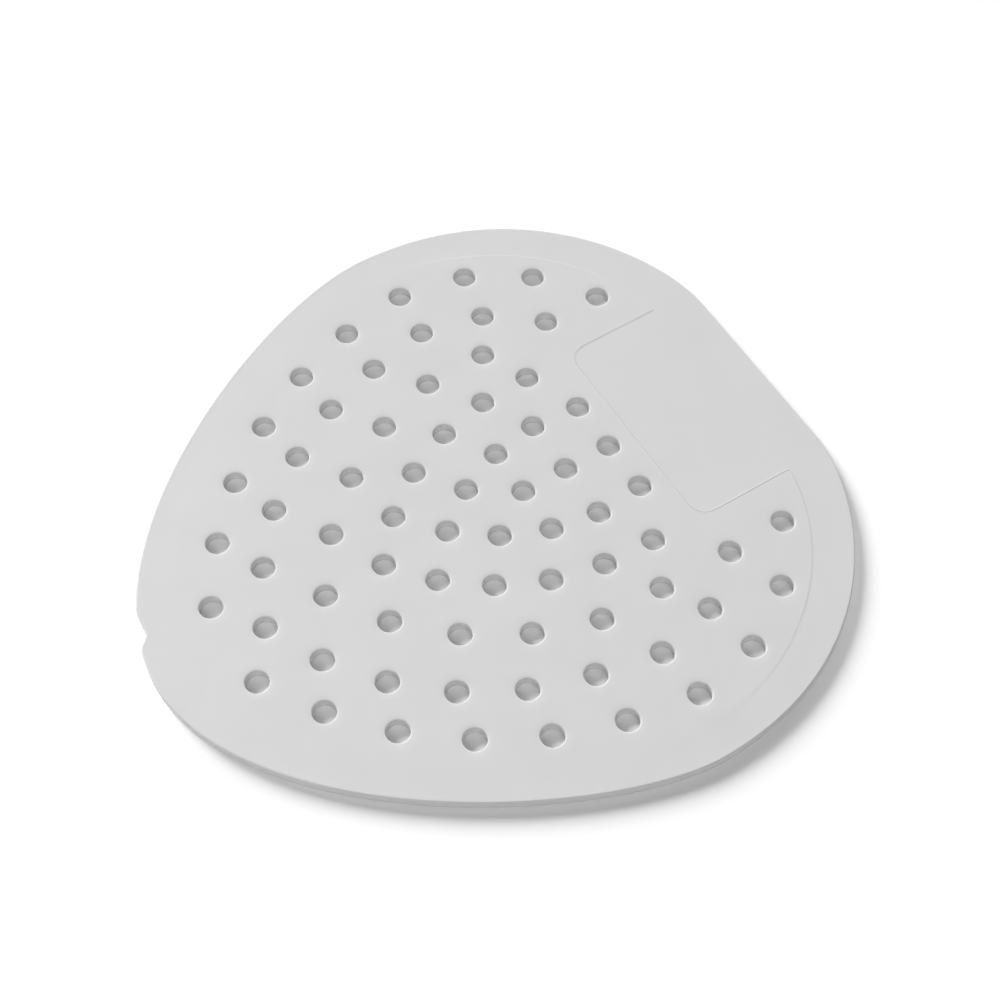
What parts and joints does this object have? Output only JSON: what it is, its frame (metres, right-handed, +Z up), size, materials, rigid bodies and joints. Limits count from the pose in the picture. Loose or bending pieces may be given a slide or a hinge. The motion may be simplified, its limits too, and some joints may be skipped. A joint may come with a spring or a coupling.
{
  "type": "urinal deodorizer screen",
  "caption": "Flat shield-shaped screen of soft vinyl that lies over a urinal drain, with nested rows of round drain holes and a bare label field at its back edge.",
  "frame": {"origin": "middle of the bounding box on the flat underside, where the sheet lies on its bowl", "axes": "+Z up out of the sheet, +Y to the straight back edge with the label field, -Y to the rounded front"},
  "size_m": [0.178, 0.181, 0.003],
  "materials": {
    "vinyl": "soft moulded vinyl, pale grey, satin with a very fine grain"
  },
  "bodies": {
    "root": {"screen": "vinyl"}
  },
  "joints": []
}
